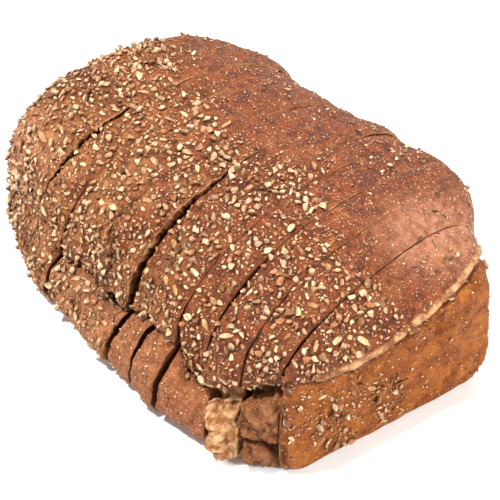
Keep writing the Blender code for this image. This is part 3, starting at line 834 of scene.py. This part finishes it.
def mesh_object(name, verts, faces, materials, slots=None, smooth=True):
    """Mesh from numpy arrays; a face row with a repeated last index is a triangle."""
    mesh = bpy.data.meshes.new(name)
    keep = np.ones(faces.shape, bool)
    keep[:, 1:] = faces[:, 1:] != faces[:, :-1]
    sizes, loops = keep.sum(1), faces[keep]
    mesh.vertices.add(len(verts))
    mesh.vertices.foreach_set("co", verts.astype(np.float32).ravel())
    mesh.loops.add(len(loops))
    mesh.loops.foreach_set("vertex_index", loops.astype(np.int32))
    mesh.polygons.add(len(sizes))
    mesh.polygons.foreach_set("loop_start", np.concatenate([[0], np.cumsum(sizes)[:-1]]).astype(np.int32))
    mesh.polygons.foreach_set("loop_total", sizes.astype(np.int32))
    for m in materials:
        mesh.materials.append(m)
    if slots is not None:
        mesh.polygons.foreach_set("material_index", slots.astype(np.int32))
    mesh.polygons.foreach_set("use_smooth", np.full(len(sizes), smooth))
    mesh.update(calc_edges=True)
    obj = bpy.data.objects.new(name, mesh)
    bpy.context.scene.collection.objects.link(obj)
    return obj


# Materials

def srgb(r, g, b):
    """Linear colour of 0-255 sRGB values."""
    out = []
    for v in (r, g, b):
        v /= 255
        out.append(v / 12.92 if v <= 0.04045 else ((v + 0.055) / 1.055) ** 2.4)
    return (*out, 1.0)


class Nodes:
    """Small helper for building a shader tree."""

    def __init__(self, name):
        self.material = bpy.data.materials.new(name)
        self.material.use_nodes = True
        self.tree = self.material.node_tree
        self.shader = self.tree.nodes["Principled BSDF"]
        coords = self.tree.nodes.new("ShaderNodeTexCoord")
        self.place = coords.outputs["Object"]

    def put(self, socket, value):
        if isinstance(value, bpy.types.NodeSocket):
            self.tree.links.new(value, socket)
        else:
            socket.default_value = value

    def fill(self, node, inputs):
        """Set inputs by name; an underscore stands for a space."""
        for key, value in inputs.items():
            self.put(node.inputs[key.replace("_", " ")], value)

    def node(self, kind, **inputs):
        n = self.tree.nodes.new("ShaderNode" + kind)
        self.fill(n, inputs)
        return n

    def noise(self, scale, detail=4.0, rough=0.55):
        n = self.node("TexNoise", Vector=self.place, Scale=scale, Detail=detail, Roughness=rough)
        return n.outputs["Fac"]

    def cells(self, scale):
        return self.node("TexVoronoi", Vector=self.place, Scale=scale).outputs["Distance"]

    def span(self, value, low, high, to_low=0.0, to_high=1.0):
        n = self.node("MapRange", Value=value, From_Min=low, From_Max=high, To_Min=to_low, To_Max=to_high)
        n.interpolation_type = "SMOOTHSTEP"
        return n.outputs["Result"]

    def mix(self, share, a, b):
        n = self.tree.nodes.new("ShaderNodeMix")
        n.data_type = "RGBA"
        self.put(n.inputs["Factor"], share)
        self.put(n.inputs[6], a)
        self.put(n.inputs[7], b)
        return n.outputs[2]

    def math(self, kind, a, b=0.0, c=0.0):
        n = self.tree.nodes.new("ShaderNodeMath")
        n.operation = kind
        for socket, v in zip(n.inputs, (a, b, c)):
            self.put(socket, v)
        return n.outputs[0]

    def times(self, a, b):
        return self.math("MULTIPLY", a, b)

    def channels(self, name):
        n = self.tree.nodes.new("ShaderNodeAttribute")
        n.attribute_name = name
        parts = self.node("SeparateColor", Color=n.outputs["Color"])
        return parts.outputs["Red"], parts.outputs["Green"], parts.outputs["Blue"], n.outputs["Alpha"]

    def bump(self, height, strength, distance, **normal):
        n = self.node("Bump", Height=height, Strength=strength, Distance=distance, **normal)
        return n.outputs["Normal"]

    def finished(self, **inputs):
        """Set the shader's inputs and give back the material."""
        self.fill(self.shader, inputs)
        return self.material


def brown_crust(m, patch, broad):
    """Brown of the cap, mottled in three sizes."""
    brown = m.mix(m.span(patch, 0.34, 0.66), srgb(66, 26, 9), srgb(134, 65, 30))
    brown = m.mix(m.span(broad, 0.42, 0.62, 0.0, 0.4), brown, srgb(100, 43, 17))
    return m.mix(m.span(m.noise(75.0, 4.0, 0.6), 0.50, 0.66, 0.0, 0.55), brown, srgb(138, 78, 34))


def tan_crust(m, patch):
    """Tan of the wall below the cap, more golden towards the far left."""
    side = m.mix(m.span(patch, 0.32, 0.66), srgb(104, 48, 13), srgb(150, 83, 30))
    side = m.mix(m.span(m.noise(110.0, 3.0, 0.6), 0.46, 0.64, 0.0, 0.5), side, srgb(172, 103, 44))
    parts = m.node("SeparateXYZ", Vector=m.place).outputs
    golden = m.times(m.span(parts["Y"], -0.060, 0.005), m.span(parts["X"], 0.02, -0.03))
    straw = m.mix(m.span(patch, 0.32, 0.66), srgb(112, 62, 28), srgb(182, 122, 74))
    return m.mix(golden, side, straw)


def speckled(m, base, tan):
    """Crust with dark grit, pale specks and rare pale flecks, fewer of them on tan crust."""
    calm = m.math("MULTIPLY_ADD", tan, -0.35, 1.0)
    grit = m.times(m.span(m.noise(900.0, 4.0, 0.7), 0.36, 0.52, 0.55, 0.0), calm)
    base = m.mix(grit, base, srgb(66, 26, 12))
    speckle = m.times(m.span(m.noise(1300.0, 3.0, 0.7), 0.54, 0.68, 0.0, 0.40), calm)
    base = m.mix(speckle, base, srgb(204, 150, 108))
    fleck = m.span(m.cells(640.0), 0.22, 0.10)
    rare = m.span(m.noise(300.0, 2.0), 0.46, 0.58)
    return m.mix(m.times(m.times(fleck, rare), 0.75), base, srgb(224, 184, 146))


def crust_material():
    """Baked crust, coloured by the masks, which also hold painted highlight and painted shade."""
    m = Nodes("baked_crust")
    tan, painted_sheen_and_pale_skirt, crumb, painted_shade_and_mottle = m.channels("masks")
    patch = m.noise(260.0, 5.0, 0.68)
    base = m.mix(tan, brown_crust(m, patch, m.noise(38.0, 3.0)), tan_crust(m, patch))
    base = speckled(m, base, tan)
    # Painted highlight from the second mask, and the skirts' own paler colour.
    pale = m.mix(m.span(patch, 0.35, 0.65), srgb(168, 104, 72), srgb(206, 150, 120))
    base = m.mix(m.times(painted_sheen_and_pale_skirt, 0.55), base, pale)
    soft = m.mix(m.span(m.noise(260.0, 5.0, 0.65), 0.36, 0.62), srgb(156, 96, 50), srgb(236, 184, 134))
    base = m.mix(crumb, base, soft)
    # Painted shade from the fourth mask, with the flat end's darker mottle.
    base = m.mix(m.times(painted_shade_and_mottle, 0.85), base, srgb(44, 15, 6))
    crumbly = m.math("MULTIPLY_ADD", crumb, 1.4, 0.8)
    fine = m.bump(m.times(m.noise(1000.0, 6.0, 0.75), crumbly), 1.0, 0.0007)
    return m.finished(
        Base_Color=base,
        Roughness=m.span(patch, 0.3, 0.7, 0.55, 0.78),
        Specular_IOR_Level=m.span(tan, 0.2, 0.8, 0.26, 0.14),
        Subsurface_Weight=0.03,
        Subsurface_Radius=(0.004, 0.002, 0.001),
        Normal=m.bump(m.noise(240.0, 5.0, 0.6), 0.55, 0.0014, Normal=fine),
    )


def crumb_material():
    """Cut crumb with pores painted darker as painted shade in its holes, and painted shade inside the cuts from
    the last mask.
    """
    m = Nodes("cut_crumb")
    base = m.mix(m.span(m.noise(190.0, 5.0, 0.6), 0.35, 0.65), srgb(150, 94, 50), srgb(204, 150, 100))
    # Painted shade in the crumb's pores.
    pores = m.span(m.cells(420.0), 0.30, 0.12)
    base = m.mix(m.times(pores, 0.7), base, srgb(96, 52, 26))
    # Painted shade inside the cut gaps.
    base = m.mix(m.channels("masks")[3], base, srgb(74, 29, 12))
    normal = m.bump(m.cells(420.0), 0.6, 0.0008)
    return m.finished(Base_Color=base, Roughness=0.9, Specular_IOR_Level=0.15, Normal=normal)


def grain_material(name, low, high, rough, specular=0.4):
    """Grain: each chip has its own shade between two colours, with browned patches, and painted shade on its
    lower sides.
    """
    m = Nodes(name)
    shade, second, height, _ = m.channels("shade")
    base = m.mix(shade, srgb(*low), srgb(*high))
    browned_and_base_shade = srgb(*[int(0.55 * v) for v in low])
    base = m.mix(m.span(m.noise(760.0, 4.0, 0.7), 0.38, 0.58, 0.60, 0.0), base, browned_and_base_shade)
    base = m.mix(m.times(second, 0.6), base, browned_and_base_shade)
    # Painted shade: each grain darker towards its base, where it meets the crust.
    base = m.mix(m.span(height, 0.35, 0.80, 0.95, 0.0), base, browned_and_base_shade)
    return m.finished(
        Base_Color=base,
        Roughness=rough,
        Specular_IOR_Level=specular,
        Subsurface_Weight=0.04,
        Subsurface_Radius=(0.003, 0.002, 0.001),
        Normal=m.bump(m.noise(1400.0, 4.0, 0.7), 0.7, 0.0006),
    )


def plain_material(name, colour, rough):
    """Even colour with a hint of noise."""
    m = Nodes(name)
    base = m.mix(m.noise(3.0), colour, tuple(0.99 * v for v in colour[:3]) + (1,))
    return m.finished(Base_Color=base, Roughness=rough, Specular_IOR_Level=0.1)


# Grain

def ball(steps):
    """Vertices and triangles of an icosphere."""
    work = bmesh.new()
    bmesh.ops.create_icosphere(work, subdivisions=steps, radius=1.0)
    verts = np.array([v.co[:] for v in work.verts])
    faces = np.array([[v.index for v in f.verts] for f in work.faces])
    work.free()
    return verts, faces


def chip_shapes(count, steps, cuts, round_off=0.0):
    """Variants of a broken grain, a ball flattened by random planes, and their triangles."""
    verts, faces = ball(steps)
    shapes = []
    for _ in range(count):
        v = verts.copy()
        for _ in range(cuts):
            n = RNG.normal(size=3)
            n /= np.linalg.norm(n)
            depth = RNG.uniform(0.28, 0.72) + round_off
            over = np.clip(v @ n - depth, 0, None)
            v = v - over[:, None] * n
        v += RNG.normal(scale=0.05, size=v.shape)
        v /= np.abs(v).max(axis=0)
        shapes.append(v)
    return np.array(shapes), faces


def sizes_of(count, length, spread, width, height):
    """Half sizes of grains of about that length."""
    base = length * np.exp(np.clip(RNG.normal(scale=spread, size=count), -0.3, 0.3)) / 2
    wide, tall = RNG.uniform(0.8, 1.2, count), RNG.uniform(0.8, 1.2, count)
    return np.stack([base, base * width * wide, base * height * tall], 1)


def frames_on(normals, tilt):
    """Random orthonormal frames about given normals."""
    count = len(normals)
    n = normals + RNG.normal(scale=tilt, size=(count, 3))
    n /= np.linalg.norm(n, axis=1, keepdims=True)
    a = RNG.normal(size=(count, 3))
    a -= (a * n).sum(1, keepdims=True) * n
    a /= np.linalg.norm(a, axis=1, keepdims=True)
    return np.stack([a, np.cross(n, a), n], 1)


def scatter(name, size, sunk, tilt, variants, points, normals, look):
    """One mesh of all the grains of a kind, each a random variant on its point."""
    shapes, faces = variants
    sizes = sizes_of(len(points), *size)
    which = RNG.integers(0, len(shapes), len(points))
    axes = frames_on(normals, tilt)
    local = shapes[which] * sizes[:, None, :]
    centre = points + normals * (sizes[:, 2] * (1 - 2 * sunk))[:, None]
    world = np.einsum("nvk,nkx->nvx", local, axes) + centre[:, None, :]
    world[..., 2] = np.maximum(world[..., 2], GRAIN_FLOOR)
    world = np.clip(world, LOW_LIMIT, HIGH_LIMIT)
    corners = shapes.shape[1]
    tris = (faces[None] + corners * np.arange(len(points))[:, None, None]).reshape(-1, 3)
    obj = mesh_object(name, world.reshape(-1, 3), tris, [look], smooth=False)
    shade = np.zeros((len(points), corners, 4))
    shade[..., 0] = RNG.random(len(points))[:, None]
    shade[..., 1] = ((RNG.random(len(points)) < BROWNED_SHARE) * RNG.random(len(points)))[:, None]
    # Height on the grain, for the painted shade on its lower sides.
    shade[..., 2] = (1 + shapes[which][..., 2]) / 2
    shade[..., 3] = 1
    paint(obj, "shade", shade)
    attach(obj, "root")


def cover(p, n):
    """How thickly grain lies at points of the row frame, 0 to 1, as the photograph shows it."""
    q = p - LOAF_SHIFT
    x, y, z = q[:, 0], q[:, 1], q[:, 2]
    px, py = to_photo(p)
    seen = (n @ np.array(EYE_BACK)) > 0.02
    drift = 11 * layered(q, 0.016, 400, 2)
    left = -beside(GRAIN_EDGE, px, py) + drift
    dense = ease(-9, 15, left)
    clumps = ease(-0.75, 0.15, layered(q, 0.010, 410, 2))
    amount = dense * (0.42 + 0.58 * clumps) + patches(GRAIN_PATCHES, px, py)
    above = beside(CAP_EDGE, px, py)
    skirt = (0.10 + 0.72 * ease(116, 84, px)) * ease(0.005, 0.022, z)
    amount = np.where(above < 0, skirt, amount)
    on_face = (y < -0.085) & (above < 2)
    face = 0.75 * patches(FACE_PATCHES, px, py) * (0.4 + 0.9 * ease(-0.2, 0.4, noise(q, 0.006, 420)))
    amount = np.where(on_face, face + 0.006, np.maximum(amount, 0.025))
    on_lip = (y < -0.075) & (above > -3) & (above < 9) & (px > SMOOTH_LIP_START)
    amount = np.where(on_lip, 0.02, amount)
    behind = 0.02 + (0.55 * ease(0.012, 0.03, z) + 0.10) * clumps * ease(0.050, -0.020, x)
    amount = np.where(seen, amount, behind)
    return np.clip(np.where(z < 0.005, 0.0, amount), 0, 1)


def random_places(count):
    """Random points on the free crust, as rows of place and normal."""
    areas = []
    for g, _, free in SURFACES:
        across = np.roll(g, -1, 1)[:-1] - g[:-1]
        a = np.linalg.norm(np.cross(across, g[1:] - g[:-1]), axis=2)
        areas.append((a * free[:-1]).ravel())
    sizes = np.array([a.sum() for a in areas])
    pick = RNG.choice(len(SURFACES), size=count, p=sizes / sizes.sum())
    found = []
    for number, (g, n, _) in enumerate(SURFACES):
        m = int((pick == number).sum())
        cols = g.shape[1]
        cell = RNG.choice(len(areas[number]), size=m, p=areas[number] / areas[number].sum())
        r, c = cell // cols, cell % cols
        s, t = RNG.random(m)[:, None], RNG.random(m)[:, None]
        d = (c + 1) % cols
        place = (g[r, c] * (1 - s) + g[r, d] * s) * (1 - t) + (g[r + 1, c] * (1 - s) + g[r + 1, d] * s) * t
        found.append(np.hstack([place, n[r, c]]))
    found = np.vstack(found)
    return found[:, :3], found[:, 3:]


def crowded(q, spacing, key):
    """Whether a grain already lies too near to place q. key is the cell of TAKEN that holds q."""
    near = (-1, 0, 1)
    return any(
        (q[0] - o[0]) ** 2 + (q[1] - o[1]) ** 2 + (q[2] - o[2]) ** 2 < (spacing + o[3]) ** 2 / 4
        for a in near
        for b in near
        for c in near
        for o in TAKEN.get((key[0] + a, key[1] + b, key[2] + c), ())
    )


def strew(count, spacing, weight):
    """Evenly spaced places on the crust, denser where weight says so. TAKEN keeps the places in use."""
    p, n = random_places(count * TRIES)
    keep = RNG.random(len(p)) < weight(p, n)
    order = RNG.permutation(np.nonzero(keep)[0])
    picked = []
    for i in order:
        q = p[i]
        key = tuple(np.floor(q / GRAIN_CELL).astype(int))
        if crowded(q, spacing, key):
            continue
        TAKEN.setdefault(key, []).append((q[0], q[1], q[2], spacing))
        picked.append(i)
        if len(picked) == count:
            break
    return p[picked], n[picked]


def sow(kind, variants, look, weight):
    """Strew one kind of grain over the crust, denser where weight says so."""
    name, count, spacing, *build = kind
    places, normals = strew(int(count * SCALE), spacing, weight)
    scatter(name, *build, variants, places, normals, look)


def free_crust(number, k, grid, torn):
    """Where grain may lie on a grid: clear of cuts, torn crumb and the foot. Also its outward normals."""
    free = (torn < 0.3).astype(float)
    if k:
        way = np.array(EYE_BACK) if number == 0 else np.array([0, 1.0, 0])
        return grid, face_normals(grid, way), free
    t = shares(number)[:, None] + 0 * grid[..., 0]
    thick = np.linalg.norm(grid[-1] - grid[0], axis=1)[None, :]
    if number > 0:
        free *= t * thick > (STRIP_CLEAR if number in CUT_STRIP else GRAIN_CLEAR)
    if number < LAST:
        free *= (1 - t) * thick > GRAIN_CLEAR
    free[:, :FOOT_POINTS] = 0
    return grid, grid_normals(grid), free


# The pieces and their grain

CRUST = crust_material()
CRUMB = crumb_material()
TAKEN = {}
SURFACES = [
    free_crust(number, k, grid, torn)
    for number in range(len(PIECES))
    for k, (grid, torn) in enumerate(make_piece(number, CRUST, CRUMB))
]

GRAIN_LOOK = grain_material("cracked_grain", (170, 104, 55), (243, 211, 168), 0.42)
KERNEL_LOOK = grain_material("whole_kernel", (184, 124, 70), (236, 196, 148), 0.46)
SEED_LOOK = grain_material("dark_seed", (66, 38, 26), (122, 76, 50), 0.42, 0.5)
BRAN_LOOK = grain_material("bran_fleck", (196, 138, 96), (236, 204, 170), 0.75)

sow(KERNELS, chip_shapes(10, 2, 6, 0.16), KERNEL_LOOK, lambda p, n: cover(p, n) * 0.8)
sow(CHIPS, chip_shapes(40, 2, 9), GRAIN_LOOK, lambda p, n: cover(p, n) ** 1.8)
CRUMBS = chip_shapes(24, 1, 6)
sow(GRIT, CRUMBS, GRAIN_LOOK, lambda p, n: np.clip(cover(p, n) * 1.1 + 0.02, 0, 1))
sow(BRAN, CRUMBS, BRAN_LOOK, lambda p, n: np.where(n[:, 1] < -0.7, 0.10, 0.5))

SPOTS = [spot for spot in (on_loaf(*place) for place in SEEDS) if spot]
SEED_POINTS = np.array([spot[0] for spot in SPOTS])
SEED_NORMALS = np.array([spot[1] for spot in SPOTS])
scatter(*DARK_SEEDS, chip_shapes(6, 2, 3, 0.3), SEED_POINTS, SEED_NORMALS, SEED_LOOK)


# Stage, light and camera

def area_light(name, place, aim, size, power):
    """Square lamp at a place, turned to what it aims at."""
    data = bpy.data.lights.new(name, "AREA")
    data.shape = "SQUARE"
    data.size = size
    data.energy = power
    data.color = LIGHT_COLOUR
    obj = bpy.data.objects.new(name, data)
    obj.location = place
    obj.rotation_euler = (Vector(aim) - Vector(place)).to_track_quat("-Z", "Y").to_euler()
    bpy.context.scene.collection.objects.link(obj)


bpy.ops.mesh.primitive_plane_add(size=FLOOR_SIZE, location=(0, 0, -FLOOR_DROP))
floor = bpy.context.object
floor.name = "floor"
floor.data.materials.append(plain_material("pale_floor", (0.92, 0.92, 0.92, 1), 0.9))

bpy.context.scene.view_settings.view_transform = "Standard"
world = bpy.context.scene.world or bpy.data.worlds.new("world")
bpy.context.scene.world = world
world.use_nodes = True
world.node_tree.nodes["Background"].inputs["Color"].default_value = (1, 1, 1, 1)
world.node_tree.nodes["Background"].inputs["Strength"].default_value = SKY_STRENGTH
for lamp in LAMPS:
    area_light(*lamp)

lens = bpy.data.cameras.new("camera")
lens.sensor_width = SENSOR_MM
lens.lens = CAMERA_FOCAL_PX / PHOTO_SIZE * SENSOR_MM
lens.dof.use_dof = False
lens.clip_start = 0.01
eye = bpy.data.objects.new("camera", lens)
eye.location = EYE
eye.rotation_euler = EYE_AHEAD.to_track_quat("-Z", "Y").to_euler()
bpy.context.scene.collection.objects.link(eye)
bpy.context.scene.camera = eye
